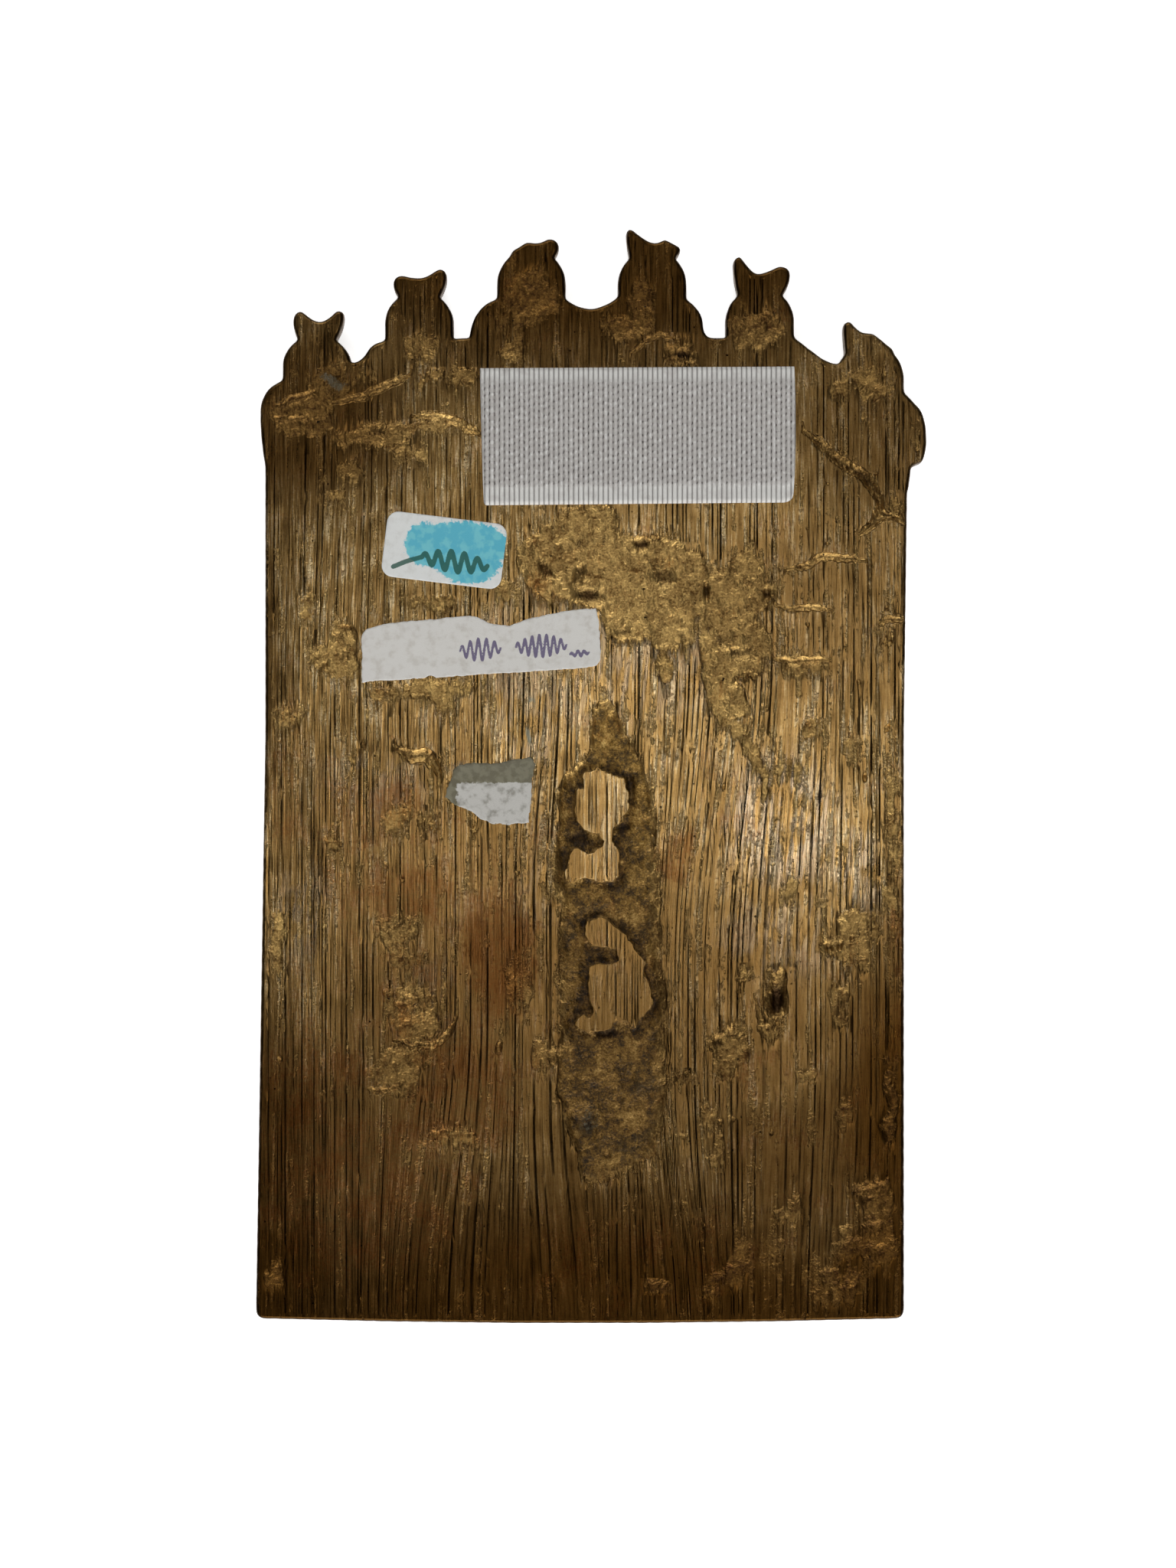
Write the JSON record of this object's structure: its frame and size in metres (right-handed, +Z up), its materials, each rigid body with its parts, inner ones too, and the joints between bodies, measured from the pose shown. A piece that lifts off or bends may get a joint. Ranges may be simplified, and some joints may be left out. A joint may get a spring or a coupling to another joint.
{
  "type": "cast brass travel icon plaque",
  "caption": "Cast brass travel icon lying on its carved face: a tall plaque with a stepped crest of cherubs and a flat, coarsely filed back that carries a tape pad and paper remains.",
  "frame": {"origin": "middle of the plaque's footprint, on the surface that it lies on with its carved face down", "axes": "+Y to the crest, +Z up out of the filed back, +X to the right of someone who looks down at the back with the crest away from them"},
  "size_m": [0.1225, 0.1999, 0.0079],
  "materials": {
    "filed_brass": "satin",
    "hook_tape": "matte",
    "sticker_paper": "matte",
    "label_paper": "matte",
    "old_glue": "matte"
  },
  "bodies": {
    "root": {"icon_plaque": "filed_brass", "hook_tape": "hook_tape", "small_sticker": "sticker_paper", "torn_label": "label_paper", "label_remnant": "old_glue"}
  },
  "joints": []
}
